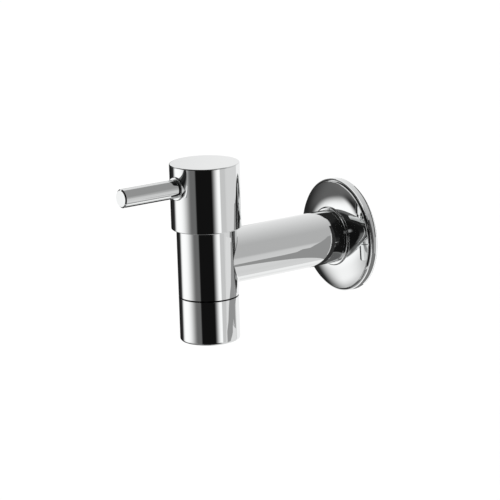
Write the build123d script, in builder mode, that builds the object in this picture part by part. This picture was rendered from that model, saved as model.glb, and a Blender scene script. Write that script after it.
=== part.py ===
"""Wall-mounted quarter-turn cold water tap.

Millimetres, +Z up.  The origin is on the axis of the inlet thread, in the plane of the wall.
+Y goes into the wall, so the tap stands out towards -Y.  The column is vertical, its axis
crosses the arm's axis, and the lever points straight away from the wall when the tap is shut.
"""

import os
from math import cos, radians, sin, sqrt

from build123d import *

# Overall form
column_to_wall = 78.5
body_radius = 14.0
body_bottom = -16.3
body_top = 22.0
cap_height = 30.6
skirt_depth = 6.2
arm_step = 1.3
nozzle_length = 21.1
flange_radius = 27.0
flange_rim = 4.6
flange_height = 7.0
lever_radius = 4.35
lever_length = 46.5
lever_above_skirt = 20.6

# Clearances
thread_clearance = 0.05
shaft_clearance = 0.05
arm_clearance = 0.06
disc_clearance = 0.15
glide_clearance = 0.06
seal_clearance = 0.02
edge_break = 0.25

# Body casting
chamber_floor = -7.0
bonnet_thread_radius = 10.4775
outlet_bore = 5.5
outlet_flare_wall = 3.0
spigot_step = 2.0
spigot_length = 6.0
arm_bore = 6.5
arm_fillet = 0.8

# Inlet
inlet_thread_radius = 10.4775
inlet_thread_length = 11.0
nipple_tail_radius = 9.5
nipple_tail_length = 11.0
nipple_seal_thickness = 1.0
strainer_radius = 8.0
strainer_thickness = 2.4
strainer_recess = 0.6
strainer_rim = 1.6
strainer_plate = 0.8
strainer_pitch = 2.46
strainer_rings = 2
thread_lead_in = 0.75

# Wall flange
flange_wall = 1.3
flange_rim_wall = 1.6
flange_crown = 0.45
flange_hub_wall = 2.8
flange_hub_depth = 4.6
flange_lip = 0.9
flange_lip_width = 1.4
flange_lip_round = 0.8
flange_seal_cord = 0.8
flange_edge_round = 1.4

# Valve head
thread_engagement = 14.0
bonnet_across_flats = 22.0
bonnet_hex_height = 5.0
bonnet_nose_radius = 6.4
bonnet_nose_height = 1.6
cage_radius = 8.6
disc_radius = 6.9
disc_thickness = 2.5
seat_seal_thickness = 2.0
disc_web = 2.4
port_half_angle = 38.0
disc_gap = 0.03
foot_height = 4.2
foot_key_width = 3.0
foot_key_depth = 1.2
thrust_washer_thickness = 1.2
stem_radius = 4.0
stem_seal_cord = 1.1
stem_seal_heights = (11.0, 15.0)
bonnet_seal_cord = 1.1
clip_thickness = 0.8
clip_radius = 6.0
clip_groove_radius = 3.2

# Turn stop
turn_angle = 90.0
shut_angle = -90.0
stop_lug_half_angle = 10.0
stop_play = 1.0
stop_radius = 11.8
stop_wall = 2.6
stop_base = 1.0
stop_wall_height = 1.4

# Handle
cap_wall = 1.85
skirt_gap = 0.45
cap_roof = 3.0
cap_upper_wall = 3.3
cap_edge_round = 0.5
spline_teeth = 16
spline_radius = 3.95
spline_depth = 0.45
spline_gap = 0.05
lever_neck_radius = 3.2
adapter_wall = 1.2
adapter_flange = 1.8
adapter_headroom = 0.4
spindle_headroom = 0.8
hub_wall = 1.5
boss_wall = 1.9
collar_radius = 5.5
collar_proud = 0.6
collar_round = 0.36
lever_seat_depth = 1.0
lever_tail_radius = 3.0
lever_end_chamfer = 0.6
glide_height = 2.4
glide_depth = 1.0
glide_below_top = 1.6
glide_split = 1.5

# Nozzle and aerator
nozzle_wall = 1.9
nozzle_shoulder_width = 2.5
nozzle_shoulder = 2.0
nozzle_edge_round = 1.2
nozzle_seam_chamfer = 0.5
nozzle_seal_cord = 1.2
aerator_recess = 0.6
aerator_washer_thickness = 1.8
aerator_washer_width = 3.25
screen_thickness = 0.4
screen_pitch = 2.7
screen_rings = 3
jet_plate_thickness = 2.5
jet_count = 12
jet_radius = 0.55
jet_inset = 3.5
shell_wall = 1.1
shell_lip = 1.0
key_slots = 4
key_slot_width = 2.6
key_slot_depth = 0.7
key_slot_reach = 1.4
core_wall = 1.0
grid_thickness = 2.0
grid_pitch = 2.7
grid_rings = 3
cell_wall = 0.5

# Radii that follow from the sizes above
cap_radius = body_radius + skirt_gap + cap_wall
arm_radius = body_radius - arm_step
spigot_radius = body_radius - spigot_step
outlet_flare = spigot_radius - outlet_flare_wall
nozzle_bore = body_radius - nozzle_wall
nozzle_shoulder_bore = nozzle_bore - nozzle_shoulder_width

# Heights that follow from the sizes above
cap_bottom = body_top - skirt_depth
cap_top = cap_bottom + cap_height
cap_ceiling = cap_top - cap_roof
lever_height = cap_bottom + lever_above_skirt
bonnet_thread_bottom = body_top - thread_engagement
bonnet_hex_top = body_top + bonnet_hex_height
bonnet_nose_top = bonnet_hex_top + bonnet_nose_height
disc_floor = chamber_floor + seat_seal_thickness
disc_join = disc_floor + disc_thickness
disc_top = disc_join + disc_gap + disc_thickness
foot_top = disc_top + foot_height
bonnet_shoulder = foot_top + thrust_washer_thickness + disc_gap
clip_bottom = bonnet_nose_top + disc_gap * 2
clip_top = clip_bottom + clip_thickness
adapter_bottom = clip_top + disc_gap * 2
adapter_flange_top = adapter_bottom + adapter_flange
spindle_top = cap_ceiling - spindle_headroom
nozzle_bottom = body_bottom - nozzle_length
shoulder_top = body_bottom - spigot_length - thread_clearance
shoulder_bottom = shoulder_top - nozzle_shoulder
aerator_bottom = nozzle_bottom + aerator_recess
washer_bottom = shoulder_bottom - aerator_washer_thickness
screen_bottom = washer_bottom - screen_thickness
jet_plate_bottom = screen_bottom - jet_plate_thickness
core_bottom = aerator_bottom + shell_lip

column_axis = Axis((0, -column_to_wall, 0), (0, 0, 1))
column_profile = Plane.XZ.offset(column_to_wall)


def column_plane(height):
    """Return the level plane at this height whose origin is on the column's axis."""
    return Plane((0, -column_to_wall, height))


def arm_plane(depth):
    """Return the plane square to the arm at this Y, facing into the wall."""
    return Plane(origin=(0, depth, 0), x_dir=(1, 0, 0), z_dir=(0, 1, 0))


def column_disc(radius, low, high, mode=Mode.ADD):
    """Add or cut a disc about the column's axis between two heights."""
    with BuildSketch(column_plane(low)) as disc:
        Circle(radius)
    extrude(disc.sketch, amount=high - low, mode=mode)


def arm_disc(radius, start, end, mode=Mode.ADD):
    """Add or cut a disc about the arm's axis between two places along Y."""
    with BuildSketch(arm_plane(start)) as disc:
        Circle(radius)
    extrude(disc.sketch, amount=end - start, mode=mode)


def column_seal(cord, groove_radius, height):
    """Turn an O-ring that sits on a groove floor of this radius."""
    with BuildSketch(column_profile) as section:
        with Locations((groove_radius + seal_clearance + cord / 2, height)):
            Circle(cord / 2)
    revolve(section.sketch, axis=column_axis)


def wedge(radius, start, end):
    """Return the corners of a wedge that covers a sector of this radius."""
    middle = (start + end) / 2
    corners = [(2 * radius * cos(radians(a)), 2 * radius * sin(radians(a))) for a in (start, middle, end)]
    return [(0, 0)] + corners


def cell_centres(rings, pitch):
    """Return the centres of a honeycomb of this many rings round a middle cell."""
    centres = []
    for row in range(-rings, rings + 1):
        for place in range(-rings, rings + 1):
            if abs(row + place) <= rings:
                centres.append((pitch * (place + row / 2), pitch * row * sqrt(3) / 2))
    return centres


def honeycomb(plane, rings, pitch, wall, thickness):
    """Cut a honeycomb of hexagonal cells through a plate that starts at this plane."""
    with BuildSketch(plane) as cells:
        with Locations(*cell_centres(rings, pitch)):
            RegularPolygon(radius=(pitch - wall) / 2, side_count=6, major_radius=False, rotation=30)
    extrude(cells.sketch, amount=thickness, mode=Mode.SUBTRACT)


def spline_outline(radius, depth):
    """Return the corners of a spline with pointed teeth."""
    corners = []
    for tooth in range(spline_teeth):
        tip = 360 / spline_teeth * tooth
        root = tip + 180 / spline_teeth
        corners.append((radius * cos(radians(tip)), radius * sin(radians(tip))))
        corners.append(((radius - depth) * cos(radians(root)), (radius - depth) * sin(radians(root))))
    return corners


# Body: one casting with the column, the arm, the valve chamber and the nozzle spigot
with BuildPart() as body:
    column_disc(body_radius, body_bottom, body_top)
    arm_disc(arm_radius, -column_to_wall, 0)
    junction = body.edges().filter_by(GeomType.BSPLINE)
    fillet(junction, radius=arm_fillet)
    outer_edges = body.edges().filter_by(GeomType.CIRCLE)
    chamfer(outer_edges, length=edge_break)
    spigot_bottom = body_bottom - spigot_length
    column_disc(spigot_radius, spigot_bottom, body_bottom)
    column_disc(outlet_flare, spigot_bottom, (body_bottom + spigot_bottom) / 2, Mode.SUBTRACT)
    column_disc(outlet_bore, spigot_bottom, chamber_floor, Mode.SUBTRACT)
    column_disc(bonnet_thread_radius + thread_clearance, chamber_floor, body_top, Mode.SUBTRACT)
    bonnet_seal_seat = bonnet_seal_cord + 2 * seal_clearance
    column_disc(bonnet_thread_radius + bonnet_seal_seat, body_top - bonnet_seal_seat, body_top, Mode.SUBTRACT)
    arm_disc(arm_bore, -column_to_wall, 0, Mode.SUBTRACT)
    socket_depth = nipple_tail_length + nipple_seal_thickness
    arm_disc(nipple_tail_radius + thread_clearance, -socket_depth, 0, Mode.SUBTRACT)
    nozzle_seal_height = body_bottom - spigot_length / 2
    nozzle_groove = spigot_radius - nozzle_seal_cord
    with BuildSketch(column_profile):
        with Locations((spigot_radius, nozzle_seal_height)):
            Rectangle(2 * nozzle_seal_cord, nozzle_seal_cord + 4 * seal_clearance)
    revolve(axis=column_axis, mode=Mode.SUBTRACT)
    glide_top = body_top - glide_below_top
    with BuildSketch(column_profile):
        with Locations((body_radius, glide_top - glide_height / 2)):
            Rectangle(2 * glide_depth, glide_height)
    revolve(axis=column_axis, mode=Mode.SUBTRACT)
body.part.label = "body"

# Inlet nipple with the outside pipe thread at its nominal radius
with BuildPart() as inlet_nipple:
    arm_disc(nipple_tail_radius, -nipple_tail_length, 0)
    arm_disc(inlet_thread_radius, 0, inlet_thread_length)
    chamfer(inlet_nipple.faces().sort_by(Axis.Y)[-1].edges(), length=thread_lead_in)
    arm_disc(arm_bore, -nipple_tail_length, inlet_thread_length, Mode.SUBTRACT)
    strainer_start = inlet_thread_length - strainer_recess - strainer_thickness
    arm_disc(strainer_radius + thread_clearance, strainer_start, inlet_thread_length, Mode.SUBTRACT)
inlet_nipple.part.label = "inlet_nipple"

# Flat fibre ring between the nipple and the shoulder in the arm
with BuildPart() as nipple_seal:
    arm_disc(nipple_tail_radius, -socket_depth, -nipple_tail_length)
    arm_disc(arm_bore, -socket_depth, -nipple_tail_length, Mode.SUBTRACT)
nipple_seal.part.label = "nipple_seal"

# Strainer that lies in the mouth of the nipple
with BuildPart() as inlet_strainer:
    arm_disc(strainer_radius, strainer_start, strainer_start + strainer_thickness)
    strainer_end = strainer_start + strainer_thickness
    arm_disc(strainer_radius - strainer_rim, strainer_start + strainer_plate, strainer_end, Mode.SUBTRACT)
    honeycomb(arm_plane(strainer_start), strainer_rings, strainer_pitch, cell_wall, strainer_thickness)
inlet_strainer.part.label = "inlet_strainer"

# Domed flange that slides on the arm and covers the hole in the wall
flange_bore = arm_radius + arm_clearance
flange_hub = flange_bore + flange_hub_wall
flange_groove = flange_bore + flange_seal_cord + seal_clearance
dome_edge = flange_radius - flange_edge_round
with BuildPart() as wall_flange:
    with BuildSketch(Plane.XY):
        with BuildLine():
            lip_edge = flange_bore + flange_lip_width
            Polyline((flange_bore, 0), (flange_bore, -flange_height - flange_lip))
            Line((flange_bore, -flange_height - flange_lip), (lip_edge, -flange_height - flange_lip))
            Line((lip_edge, -flange_height - flange_lip), (lip_edge, -flange_height))
            SagittaArc((lip_edge, -flange_height), (dome_edge, -flange_rim), -flange_crown)
            round_end = (flange_radius, -flange_rim + flange_edge_round)
            RadiusArc((dome_edge, -flange_rim), round_end, flange_edge_round)
            Polyline(round_end, (flange_radius, 0), (flange_bore, 0))
        make_face()
    revolve(axis=Axis.Y)
    lip_front = wall_flange.faces().sort_by(Axis.Y)[0]
    fillet(lip_front.edges().sort_by(SortBy.RADIUS)[-1], radius=flange_lip_round)
    with BuildSketch(Plane.XY):
        with BuildLine():
            cavity_rim = flange_radius - flange_rim_wall
            rim_roof = -flange_rim + flange_wall
            hub_roof = -flange_height + flange_wall
            Polyline((flange_hub, 0), (flange_hub, hub_roof))
            SagittaArc((flange_hub, hub_roof), (cavity_rim, rim_roof), -flange_crown)
            Polyline((cavity_rim, rim_roof), (cavity_rim, 0), (flange_hub, 0))
        make_face()
    revolve(axis=Axis.Y, mode=Mode.SUBTRACT)
    hub_back = -flange_height - flange_lip + flange_hub_depth
    with BuildSketch(Plane.XY):
        with Locations((flange_bore + flange_hub_wall / 2, hub_back / 2)):
            Rectangle(2 * flange_hub_wall, -hub_back)
    revolve(axis=Axis.Y, mode=Mode.SUBTRACT)
    flange_seal_place = -flange_height - flange_lip + flange_hub_depth / 2
    with BuildSketch(Plane.XY):
        with Locations((flange_bore, flange_seal_place)):
            Rectangle(2 * (flange_groove - flange_bore), flange_seal_cord + 4 * seal_clearance)
    revolve(axis=Axis.Y, mode=Mode.SUBTRACT)
wall_flange.part.label = "wall_flange"

# O-ring in the hub of the flange, which grips the arm
with BuildPart() as flange_seal:
    with BuildSketch(Plane.XY):
        with Locations((flange_groove - flange_seal_cord / 2, flange_seal_place)):
            Circle(flange_seal_cord / 2)
    revolve(axis=Axis.Y)
flange_seal.part.label = "flange_seal"

# Valve head: hexagon, thread, cage with two windows, and bores for the stem and the discs
disc_bore = disc_radius + disc_clearance
stem_bore = stem_radius + shaft_clearance
with BuildPart() as bonnet:
    column_disc(cage_radius, disc_floor, bonnet_thread_bottom)
    column_disc(bonnet_thread_radius, bonnet_thread_bottom, body_top)
    thread_start = bonnet.edges().filter_by(GeomType.CIRCLE).group_by(SortBy.RADIUS)[-1].sort_by(Axis.Z)[0]
    chamfer(thread_start, length=edge_break)
    with BuildSketch(column_plane(body_top)):
        RegularPolygon(radius=bonnet_across_flats / 2, side_count=6, major_radius=False)
    extrude(amount=bonnet_hex_height)
    column_disc(bonnet_nose_radius, bonnet_hex_top, bonnet_nose_top)
    column_disc(disc_bore, disc_floor, bonnet_shoulder, Mode.SUBTRACT)
    column_disc(stem_bore, disc_floor, bonnet_nose_top, Mode.SUBTRACT)
    window_low = disc_join + disc_gap
    with BuildSketch(column_plane(window_low)):
        for side in (0, 180):
            with BuildLine():
                Polyline(*wedge(cage_radius, side - port_half_angle, side + port_half_angle), close=True)
            make_face()
        Circle(disc_radius, mode=Mode.SUBTRACT)
    extrude(amount=foot_top - window_low, mode=Mode.SUBTRACT)
bonnet.part.label = "bonnet"

# O-ring under the hexagon
with BuildPart() as bonnet_seal:
    column_seal(bonnet_seal_cord, bonnet_thread_radius, body_top - bonnet_seal_seat / 2)
bonnet_seal.part.label = "bonnet_seal"

# Rubber seat between the chamber floor and the fixed disc
with BuildPart() as seat_seal:
    column_disc(cage_radius, chamber_floor, disc_floor)
    column_disc(outlet_bore, chamber_floor, disc_floor, Mode.SUBTRACT)
seat_seal.part.label = "seat_seal"

# Fixed ceramic disc with a port on each side
with BuildPart() as fixed_disc:
    column_disc(disc_radius, disc_floor, disc_join)
    with BuildSketch(column_plane(disc_floor)):
        for side in (0, 180):
            with BuildLine():
                Polyline(*wedge(disc_radius, side - port_half_angle, side + port_half_angle), close=True)
            make_face()
        Circle(outlet_bore, mode=Mode.INTERSECT)
        Circle(disc_web, mode=Mode.SUBTRACT)
    extrude(amount=disc_thickness, mode=Mode.SUBTRACT)
fixed_disc.part.label = "fixed_disc"

# Turning ceramic disc, whose ports are open to the side and lie across when shut
with BuildPart() as turning_disc:
    column_disc(disc_radius, disc_join + disc_gap, disc_top)
    with BuildSketch(column_plane(disc_join + disc_gap)):
        for side in (90, 270):
            with BuildLine():
                Polyline(*wedge(disc_radius, side - port_half_angle, side + port_half_angle), close=True)
            make_face()
        Circle(disc_web, mode=Mode.SUBTRACT)
    extrude(amount=disc_thickness, mode=Mode.SUBTRACT)
    with BuildSketch(column_plane(disc_top)):
        Rectangle(2 * disc_radius, foot_key_width + 2 * thread_clearance)
    extrude(amount=-foot_key_depth - thread_clearance, mode=Mode.SUBTRACT)
turning_disc.part.label = "turning_disc"

# Spindle with its driving foot, stem, seal grooves, clip groove and spline
stem_seal_floor = stem_radius - stem_seal_cord
with BuildPart() as spindle:
    column_disc(disc_radius, disc_top, foot_top)
    column_disc(stem_radius, foot_top, adapter_bottom)
    with BuildSketch(column_plane(disc_top)):
        Rectangle(2 * disc_radius, foot_key_width)
        Circle(disc_radius, mode=Mode.INTERSECT)
    extrude(amount=-foot_key_depth)
    for seal_height in stem_seal_heights:
        with BuildSketch(column_profile):
            with Locations((stem_radius, seal_height)):
                Rectangle(2 * stem_seal_cord, stem_seal_cord + 4 * seal_clearance)
        revolve(axis=column_axis, mode=Mode.SUBTRACT)
    with BuildSketch(column_profile):
        with Locations((stem_radius, (clip_bottom + clip_top) / 2)):
            Rectangle(2 * (stem_radius - clip_groove_radius), clip_thickness + disc_gap)
    revolve(axis=column_axis, mode=Mode.SUBTRACT)
    with BuildSketch(column_plane(adapter_bottom)):
        with BuildLine():
            Polyline(*spline_outline(spline_radius, spline_depth), close=True)
        make_face()
    extrude(amount=spindle_top - adapter_bottom)
    with BuildSketch(column_profile):
        with Locations((spline_radius, lever_height)):
            Rectangle(2 * (spline_radius - lever_neck_radius), 2 * lever_tail_radius + 4 * thread_clearance)
    revolve(axis=column_axis, mode=Mode.SUBTRACT)
spindle.part.label = "spindle"

# Two O-rings on the stem
stem_seals = []
for number, seal_height in enumerate(stem_seal_heights, start=1):
    with BuildPart() as stem_seal:
        column_seal(stem_seal_cord - 2 * seal_clearance, stem_seal_floor, seal_height)
    stem_seal.part.label = f"stem_seal_{number}"
    stem_seals.append(stem_seal)

# Low-friction washer between the foot and the shoulder of the valve head
with BuildPart() as thrust_washer:
    column_disc(disc_radius, foot_top, foot_top + thrust_washer_thickness)
    column_disc(stem_radius, foot_top, foot_top + thrust_washer_thickness, Mode.SUBTRACT)
thrust_washer.part.label = "thrust_washer"

# Open spring clip that keeps the spindle in the valve head
with BuildPart() as spindle_clip:
    column_disc(clip_radius, clip_bottom, clip_top)
    column_disc(clip_groove_radius, clip_bottom, clip_top, Mode.SUBTRACT)
    with BuildSketch(column_plane(clip_bottom)):
        with Locations((0, clip_radius / 2)):
            Rectangle(2 * clip_groove_radius - spline_depth, clip_radius)
    extrude(amount=clip_thickness, mode=Mode.SUBTRACT)
    fillet(spindle_clip.edges().filter_by(Axis.Z).group_by(Axis.Y)[-1], radius=edge_break)
spindle_clip.part.label = "spindle_clip"

# Stop ring on the hexagon, with a wall that leaves a quarter turn open
stop_inner = stop_radius - stop_wall
stop_clear_angle = stop_lug_half_angle + stop_play
with BuildPart() as stop_ring:
    column_disc(stop_radius, bonnet_hex_top, bonnet_hex_top + stop_base)
    stop_base_top = bonnet_hex_top + stop_base
    column_disc(bonnet_nose_radius + thread_clearance, bonnet_hex_top, stop_base_top, Mode.SUBTRACT)
    with BuildSketch(column_plane(bonnet_hex_top + stop_base)):
        Circle(stop_radius)
        Circle(stop_inner, mode=Mode.SUBTRACT)
        with BuildLine():
            open_start = shut_angle - stop_clear_angle
            open_end = shut_angle + turn_angle + stop_clear_angle
            Polyline(*wedge(stop_radius, open_start, open_end), close=True)
        make_face(mode=Mode.SUBTRACT)
    extrude(amount=stop_wall_height)
stop_ring.part.label = "stop_ring"

# Splined adapter between the spindle and the cap, with the stop lug under its flange
adapter_bore = spline_radius + spline_gap
adapter_radius = adapter_bore + adapter_wall
adapter_top = cap_ceiling - adapter_headroom
with BuildPart() as spline_adapter:
    column_disc(stop_radius, adapter_bottom, adapter_flange_top)
    column_disc(adapter_radius, adapter_flange_top, adapter_top)
    with BuildSketch(column_plane(adapter_bottom)):
        Circle(stop_radius)
        Circle(stop_inner, mode=Mode.SUBTRACT)
        with BuildLine():
            lug_start = shut_angle - stop_lug_half_angle
            lug_end = shut_angle + stop_lug_half_angle
            Polyline(*wedge(stop_radius, lug_start, lug_end), close=True)
        make_face(mode=Mode.INTERSECT)
    lug_depth = adapter_bottom - bonnet_hex_top - stop_base - disc_gap
    extrude(amount=-lug_depth)
    with BuildSketch(column_plane(adapter_bottom)):
        with BuildLine():
            Polyline(*spline_outline(adapter_bore, spline_depth), close=True)
        make_face()
    extrude(amount=adapter_top - adapter_bottom, mode=Mode.SUBTRACT)
    with BuildSketch(Plane(origin=(0, -column_to_wall, lever_height), x_dir=(1, 0, 0), z_dir=(0, -1, 0))):
        Circle(lever_tail_radius + thread_clearance)
    extrude(amount=2 * adapter_radius, mode=Mode.SUBTRACT)
spline_adapter.part.label = "spline_adapter"

# Handle cap: a skirt over the body, a hub over the adapter and a boss for the lever
skirt_bore = body_radius + skirt_gap
upper_bore = cap_radius - cap_upper_wall
hub_radius = adapter_radius + thread_clearance + hub_wall
lever_face = cap_radius - lever_seat_depth
lever_plane = Plane(origin=(0, -column_to_wall, lever_height), x_dir=(1, 0, 0), z_dir=(0, -1, 0))
with BuildPart() as handle_cap:
    column_disc(cap_radius, cap_bottom, cap_top)
    fillet(handle_cap.edges().filter_by(GeomType.CIRCLE), radius=cap_edge_round)
    skirt_top = adapter_flange_top + disc_gap
    with BuildSketch(column_plane(skirt_top)):
        Circle(upper_bore)
        Circle(hub_radius, mode=Mode.SUBTRACT)
    extrude(amount=cap_ceiling - skirt_top, mode=Mode.SUBTRACT)
    with BuildSketch(lever_plane):
        Circle(lever_tail_radius + boss_wall)
    extrude(amount=lever_face)
    column_disc(skirt_bore, cap_bottom, skirt_top, Mode.SUBTRACT)
    column_disc(adapter_radius + thread_clearance, skirt_top, cap_ceiling, Mode.SUBTRACT)
    with BuildSketch(lever_plane):
        Circle(lever_tail_radius + thread_clearance)
    extrude(amount=cap_radius, mode=Mode.SUBTRACT)
    with BuildSketch(lever_plane.offset(lever_face)):
        Circle(collar_radius + thread_clearance)
    extrude(amount=cap_radius, mode=Mode.SUBTRACT)
handle_cap.part.label = "handle_cap"

# Lever pin with its collar and the threaded tail that clamps on the spindle
with BuildPart() as lever:
    with BuildSketch(lever_plane.offset(lever_neck_radius + thread_clearance)):
        Circle(lever_tail_radius)
    extrude(amount=lever_face - lever_neck_radius - thread_clearance)
    with BuildSketch(lever_plane.offset(lever_face)):
        Circle(collar_radius)
    extrude(amount=lever_seat_depth + collar_proud)
    collar_front = lever.faces().filter_by(Axis.Y).sort_by(Axis.Y)[0]
    fillet(collar_front.edges(), radius=collar_round)
    collar_end = cap_radius + collar_proud
    with BuildSketch(lever_plane.offset(collar_end)):
        Circle(lever_radius)
    extrude(amount=lever_length - collar_end)
    end_face = lever.faces().sort_by(Axis.Y)[0]
    chamfer(end_face.edges(), length=lever_end_chamfer)
lever.part.label = "lever"

# Split glide ring that centres the skirt of the cap on the body
with BuildPart() as glide_ring:
    glide_inner = body_radius - glide_depth + thread_clearance
    column_disc(skirt_bore - glide_clearance, glide_top - glide_height, glide_top)
    column_disc(glide_inner, glide_top - glide_height, glide_top, Mode.SUBTRACT)
    with BuildSketch(column_plane(glide_top - glide_height)):
        with Locations((0, body_radius)):
            Rectangle(glide_split, body_radius)
    extrude(amount=glide_height, mode=Mode.SUBTRACT)
glide_ring.part.label = "glide_ring"

# Nozzle screwed on the spigot, with a shoulder for the aerator
with BuildPart() as nozzle:
    column_disc(body_radius, nozzle_bottom, body_bottom)
    fillet(nozzle.edges().filter_by(GeomType.CIRCLE).sort_by(Axis.Z)[0], radius=nozzle_edge_round)
    chamfer(nozzle.faces().sort_by(Axis.Z)[-1].edges(), length=nozzle_seam_chamfer)
    column_disc(spigot_radius + thread_clearance, shoulder_top, body_bottom, Mode.SUBTRACT)
    column_disc(nozzle_shoulder_bore, shoulder_bottom, shoulder_top, Mode.SUBTRACT)
    column_disc(nozzle_bore, nozzle_bottom, shoulder_bottom, Mode.SUBTRACT)
nozzle.part.label = "nozzle"

# O-ring on the spigot
with BuildPart() as nozzle_seal:
    column_seal(nozzle_seal_cord - 2 * seal_clearance, nozzle_groove, nozzle_seal_height)
nozzle_seal.part.label = "nozzle_seal"

# Aerator, from the top: washer, screen, jet plate, threaded shell and core with its outlet grid
shell_radius = nozzle_bore - thread_clearance
shell_bore = shell_radius - shell_wall
core_radius = shell_bore - thread_clearance
jet_circle = core_radius - jet_inset
with BuildPart() as aerator_washer:
    column_disc(shell_radius, washer_bottom, shoulder_bottom)
    column_disc(shell_radius - aerator_washer_width, washer_bottom, shoulder_bottom, Mode.SUBTRACT)
aerator_washer.part.label = "aerator_washer"

with BuildPart() as aerator_screen:
    column_disc(core_radius, screen_bottom, washer_bottom)
    honeycomb(column_plane(screen_bottom), screen_rings, screen_pitch, cell_wall, screen_thickness)
aerator_screen.part.label = "aerator_screen"

with BuildPart() as jet_plate:
    column_disc(core_radius, jet_plate_bottom, screen_bottom)
    with BuildSketch(column_plane(screen_bottom)):
        Circle(jet_circle + 2 * jet_radius)
        Circle(jet_circle - 2 * jet_radius, mode=Mode.SUBTRACT)
    extrude(amount=-jet_plate_thickness / 2, mode=Mode.SUBTRACT)
    with BuildSketch(column_plane(jet_plate_bottom)):
        with PolarLocations(jet_circle, jet_count):
            Circle(jet_radius)
    extrude(amount=jet_plate_thickness, mode=Mode.SUBTRACT)
jet_plate.part.label = "jet_plate"

with BuildPart() as aerator_shell:
    column_disc(shell_radius, aerator_bottom, washer_bottom)
    column_disc(shell_bore, core_bottom, washer_bottom, Mode.SUBTRACT)
    column_disc(core_radius - core_wall, aerator_bottom, core_bottom, Mode.SUBTRACT)
    with BuildSketch(column_plane(aerator_bottom)):
        with PolarLocations(shell_radius, key_slots):
            Rectangle(2 * key_slot_reach, key_slot_width)
    extrude(amount=key_slot_depth, mode=Mode.SUBTRACT)
aerator_shell.part.label = "aerator_shell"

with BuildPart() as aerator_core:
    column_disc(core_radius, core_bottom, jet_plate_bottom)
    column_disc(core_radius - core_wall, core_bottom + grid_thickness, jet_plate_bottom, Mode.SUBTRACT)
    honeycomb(column_plane(core_bottom), grid_rings, grid_pitch, cell_wall, grid_thickness)
aerator_core.part.label = "aerator_core"

pieces = [
    body, inlet_nipple, nipple_seal, inlet_strainer, wall_flange, flange_seal, bonnet, bonnet_seal,
    seat_seal, fixed_disc, turning_disc, spindle, *stem_seals, thrust_washer, spindle_clip, stop_ring,
    spline_adapter, handle_cap, lever, glide_ring, nozzle, nozzle_seal, aerator_washer, aerator_screen,
    jet_plate, aerator_shell, aerator_core,
]
os.makedirs("parts", exist_ok=True)
for piece in pieces:
    export_step(piece.part, f"parts/{piece.part.label}.step")
    print(piece.part.label, round(piece.part.volume, 1))
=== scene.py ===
"""Looks of a wall-mounted cold water tap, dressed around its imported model."""

import logging
import math
from dataclasses import dataclass
from enum import Enum
from typing import Any

import bmesh
import bpy
from mathutils import Matrix, Vector


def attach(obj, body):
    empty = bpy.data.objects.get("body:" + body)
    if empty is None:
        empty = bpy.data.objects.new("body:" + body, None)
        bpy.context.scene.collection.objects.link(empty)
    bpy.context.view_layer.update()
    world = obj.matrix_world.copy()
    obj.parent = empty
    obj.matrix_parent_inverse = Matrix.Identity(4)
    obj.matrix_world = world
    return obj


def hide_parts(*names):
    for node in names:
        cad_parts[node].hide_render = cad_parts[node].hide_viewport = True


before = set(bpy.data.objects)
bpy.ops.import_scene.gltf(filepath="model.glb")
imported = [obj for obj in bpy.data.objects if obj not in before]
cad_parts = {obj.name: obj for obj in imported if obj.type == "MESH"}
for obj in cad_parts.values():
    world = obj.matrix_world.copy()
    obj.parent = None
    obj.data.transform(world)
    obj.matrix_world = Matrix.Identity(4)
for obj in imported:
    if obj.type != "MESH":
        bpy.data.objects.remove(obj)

log = logging.getLogger("tap")
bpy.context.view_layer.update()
MM = 0.001
JOINT_HEIGHT = -16.8 * MM
FULL_TURN = 2.0 * math.pi
QUARTER_TURN = FULL_TURN / 4
SHARP_ANGLE = math.radians(32.0)
ARC_STEPS = 24
STRIP_ENDS = (-123.5, -98.5)
STRIP_HEIGHT = 31.9
WELD = 0.001
ZENITH = 90.0
EVEN = (1.0, 1.0, 1.0)
ALONG_ARM = (0.0, 1.0, 0.0)
UPWARDS = (0.0, 0.0, 1.0)
MIX_COLOUR_PLACES = (6, 7, 2)

Triple = tuple[float, float, float]


class Body(Enum):
    """The moving bodies of the tap."""

    TAP = "tap_body"
    HANDLE = "handle"
    FLANGE = "flange"


class Slot(Enum):
    """The material slots of the record."""

    CHROME = "chrome_plate"
    BRASS = "brass"
    FIBRE = "fibre"
    RUBBER = "rubber"
    WHITE_PLASTIC = "white_plastic"
    GREY_PLASTIC = "grey_plastic"
    CERAMIC = "disc_ceramic"
    SPRING_STEEL = "spring_steel"
    WIRE = "stainless_mesh"


class Axis(Enum):
    """The axes round which the brass pieces are turned."""

    COLUMN = "Z"
    ARM = "Y"


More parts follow.
